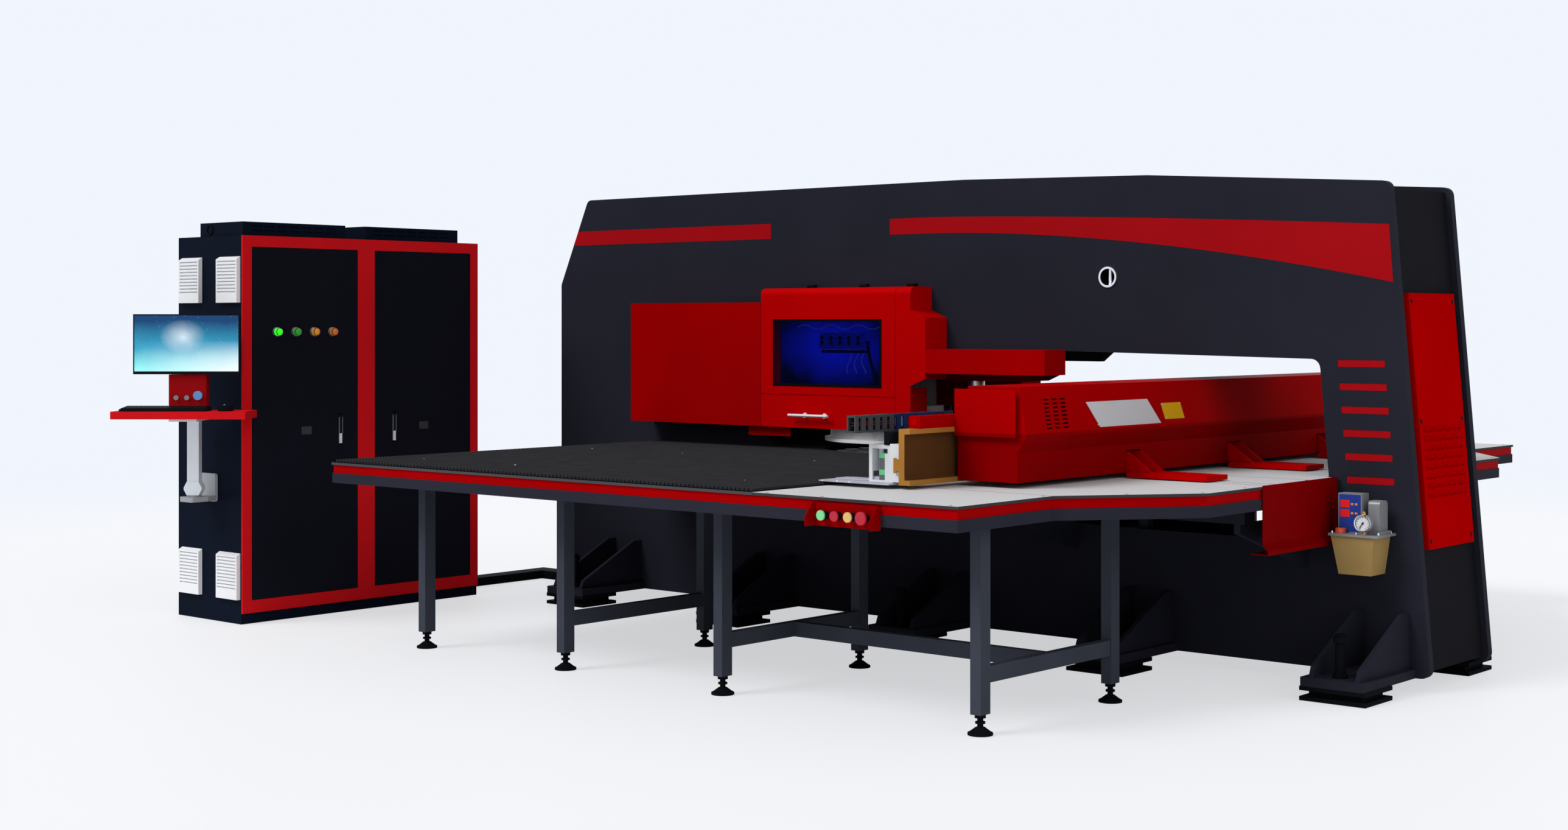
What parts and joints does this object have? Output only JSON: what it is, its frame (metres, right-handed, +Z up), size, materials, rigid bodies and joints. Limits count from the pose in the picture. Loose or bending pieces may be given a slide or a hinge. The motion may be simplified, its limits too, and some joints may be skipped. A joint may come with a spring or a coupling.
{
  "type": "cnc turret punch press",
  "caption": "Closed-frame turret punch press with brush and plain feed tables, a cross beam with sheet clamps, a windowed hood, a control cabinet and an operator arm.",
  "frame": {"origin": "on the floor, at the centre of the four corner anchor holes of the frame's pads", "axes": "+X along the frame towards the beam's drive end, +Y across the frame away from the operator, +Z up"},
  "size_m": [6.2303, 5.7161, 2.328],
  "materials": {
    "frame_paint": "satin",
    "mount_black": "satin",
    "cover_red": "semi-gloss",
    "edge_red": "semi-gloss",
    "housing_red": "satin",
    "machined_steel": "brushed",
    "turret_steel": "machined",
    "tool_steel": "machined",
    "brush": "matte",
    "table_white": "satin",
    "tube_slate": "satin",
    "foot_black": "matte",
    "bronze": "satin",
    "carriage_white": "satin",
    "jaw_steel": "ground",
    "chain_grey": "matte",
    "motor_black": "painted",
    "blue_glass": "tinted",
    "handle_white": "gloss",
    "cabinet_navy": "textured",
    "bezel_red": "semi-gloss",
    "vent_white": "matte",
    "duct_black": "matte",
    "arm_silver": "satin",
    "key_black": "matte",
    "screen_black": "gloss",
    "tank_amber": "translucent amber",
    "pump_grey": "satin",
    "button_mint": "gloss",
    "button_crimson": "gloss",
    "button_sand": "gloss",
    "button_grey": "gloss",
    "button_blue": "gloss",
    "cap_orange": "gloss",
    "needle_black": "matte"
  },
  "bodies": {
    "press_frame": {"main_frame": "frame_paint", "levelling_mounts": "mount_black", "end_panel": "edge_red", "left_cover": "cover_red", "hood_shell": "cover_red", "arm_cover": "cover_red", "rear_cover": "cover_red", "ram_housing": "housing_red", "turret_hubs": "pump_grey", "brush_tables": "brush", "white_plates": "table_white", "table_frame": "tube_slate", "table_legs": "tube_slate", "table_feet": "foot_black", "rail_covers": "edge_red", "rail_beams": "tube_slate", "button_box": "cover_red", "oil_tank": "tank_amber", "oil_pump": "pump_grey", "cabinet_shell": "cabinet_navy", "cabinet_bezel": "bezel_red", "wall_vents": "vent_white", "floor_duct": "duct_black", "wall_bracket": "machined_steel", "feed_motor": "motor_black"},
    "hood_door": {"hood_door": "cover_red", "hood_glass": "blue_glass", "hood_handle": "handle_white"},
    "upper_turret": {"upper_turret": "jaw_steel", "punch_tools": "tool_steel"},
    "lower_turret": {"lower_turret": "turret_steel"},
    "ram": {"ram": "jaw_steel"},
    "cross_beam": {"beam": "bronze", "beam_cover": "edge_red", "beam_slides": "cover_red", "carriage_motor": "motor_black"},
    "carriage_screw": {"carriage_screw": "machined_steel"},
    "feed_screw": {"feed_screw": "machined_steel"},
    "sheet_carriage": {"carriage": "carriage_white", "clamps": "carriage_white", "cable_chain": "chain_grey"},
    "clamp_jaws": {"clamp_jaws": "jaw_steel"},
    "cabinet_door_left": {"door_left": "cabinet_navy"},
    "cabinet_door_right": {"door_right": "cabinet_navy"},
    "handle_left": {"handle_left": "mount_black"},
    "handle_right": {"handle_right": "mount_black"},
    "operator_arm": {"arm_post": "arm_silver", "keyboard_tray": "bezel_red", "keyboard_mouse": "key_black", "control_panel": "bezel_red"},
    "monitor": {"monitor": "screen_black"},
    "start_button": {"start_button": "button_mint"},
    "stop_button": {"stop_button": "button_crimson"},
    "hold_button": {"hold_button": "button_sand"},
    "mushroom_button": {"mushroom_button": "button_crimson"},
    "grey_button_a": {"grey_button_a": "button_grey"},
    "grey_button_b": {"grey_button_b": "button_grey"},
    "blue_button": {"blue_button": "button_blue"},
    "filler_cap": {"filler_cap": "cap_orange"},
    "gauge_needle": {"gauge_needle": "needle_black"}
  },
  "joints": [
    {"name": "beam_feed", "type": "slide", "parent": "press_frame", "child": "cross_beam", "axis": [1, 0, 0], "range_m": [-0.745, 0.18]},
    {"name": "feed_screw_spin", "type": "hinge", "parent": "press_frame", "child": "feed_screw", "pos_m": [0.8, 0.307, 0.834], "axis": [1, 0, 0], "continuous": true},
    {"name": "carriage_feed", "type": "slide", "parent": "cross_beam", "child": "sheet_carriage", "axis": [0, 1, 0], "range_m": [0, 2.9]},
    {"name": "carriage_screw_spin", "type": "hinge", "parent": "cross_beam", "child": "carriage_screw", "pos_m": [1.095, 0, 1.188], "axis": [0, 1, 0], "continuous": true},
    {"name": "clamp_open", "type": "hinge", "parent": "sheet_carriage", "child": "clamp_jaws", "pos_m": [0.956, -1.3, 0.96], "axis": [0, 1, 0], "range_deg": [0, 4]},
    {"name": "upper_turret_index", "type": "hinge", "parent": "press_frame", "child": "upper_turret", "pos_m": [-0.483, 0.179, 1], "axis": [0, 0, 1], "continuous": true},
    {"name": "lower_turret_index", "type": "hinge", "parent": "press_frame", "child": "lower_turret", "pos_m": [-0.483, 0.179, 0.85], "axis": [0, 0, 1], "continuous": true},
    {"name": "ram_stroke", "type": "slide", "parent": "press_frame", "child": "ram", "axis": [0, 0, 1], "range_m": [-0.037, 0]},
    {"name": "hood_door_lift", "type": "hinge", "parent": "press_frame", "child": "hood_door", "pos_m": [-0.68, -0.171, 1.796], "axis": [-1, 0, 0], "range_deg": [0, 80]},
    {"name": "cabinet_door_left_swing", "type": "hinge", "parent": "press_frame", "child": "cabinet_door_left", "pos_m": [-3.081, -2.227, 1], "axis": [0, 0, -1], "range_deg": [0, 90]},
    {"name": "cabinet_door_right_swing", "type": "hinge", "parent": "press_frame", "child": "cabinet_door_right", "pos_m": [-3.081, -0.738, 1], "axis": [0, 0, 1], "range_deg": [0, 90]},
    {"name": "handle_left_pull", "type": "hinge", "parent": "cabinet_door_left", "child": "handle_left", "pos_m": [-3.08, -1.6615, 1.086], "axis": [0, -1, 0], "range_deg": [0, 60]},
    {"name": "handle_right_pull", "type": "hinge", "parent": "cabinet_door_right", "child": "handle_right", "pos_m": [-3.08, -1.2885, 1.086], "axis": [0, -1, 0], "range_deg": [0, 60]},
    {"name": "arm_swivel", "type": "hinge", "parent": "press_frame", "child": "operator_arm", "pos_m": [-3.32, -2.43, 0.72], "axis": [0, 0, 1], "range_deg": [-65, 2]},
    {"name": "monitor_tilt", "type": "hinge", "parent": "operator_arm", "child": "monitor", "pos_m": [-3.25111, -2.50924, 1.488], "axis": [-0.7547, -0.6561, 0], "range_deg": [0, 18]},
    {"name": "start_button_press", "type": "slide", "parent": "press_frame", "child": "start_button", "axis": [0, 1, 0], "range_m": [0, 0.004], "stiffness_N_per_m": 600, "springref_m": -0.002},
    {"name": "stop_button_press", "type": "slide", "parent": "press_frame", "child": "stop_button", "axis": [0, 1, 0], "range_m": [0, 0.004], "stiffness_N_per_m": 600, "springref_m": -0.002},
    {"name": "hold_button_press", "type": "slide", "parent": "press_frame", "child": "hold_button", "axis": [0, 1, 0], "range_m": [0, 0.004], "stiffness_N_per_m": 600, "springref_m": -0.002},
    {"name": "mushroom_button_press", "type": "slide", "parent": "press_frame", "child": "mushroom_button", "axis": [0, 1, 0], "range_m": [0, 0.004], "stiffness_N_per_m": 600, "springref_m": -0.002},
    {"name": "grey_button_a_press", "type": "slide", "parent": "operator_arm", "child": "grey_button_a", "axis": [-0.6561, 0.7547, 0], "range_m": [0, 0.003], "stiffness_N_per_m": 500, "springref_m": -0.002},
    {"name": "grey_button_b_press", "type": "slide", "parent": "operator_arm", "child": "grey_button_b", "axis": [-0.6561, 0.7547, 0], "range_m": [0, 0.003], "stiffness_N_per_m": 500, "springref_m": -0.002},
    {"name": "blue_button_press", "type": "slide", "parent": "operator_arm", "child": "blue_button", "axis": [-0.6561, 0.7547, 0], "range_m": [0, 0.003], "stiffness_N_per_m": 500, "springref_m": -0.002},
    {"name": "filler_cap_lift", "type": "slide", "parent": "press_frame", "child": "filler_cap", "axis": [0, 0, 1], "range_m": [0, 0.05]},
    {"name": "gauge_needle_turn", "type": "hinge", "parent": "press_frame", "child": "gauge_needle", "pos_m": [2.335, -0.347, 0.735], "axis": [0, 1, 0], "range_deg": [-70, 180], "stiffness_Nm_per_rad": 0.01}
  ],
  "couplings": [
    {"joint": "lower_turret_index", "follows": "upper_turret_index", "ratio": 1},
    {"joint": "carriage_screw_spin", "follows": "carriage_feed", "rad_per_m": 157.08},
    {"joint": "feed_screw_spin", "follows": "beam_feed", "rad_per_m": 157.08}
  ]
}
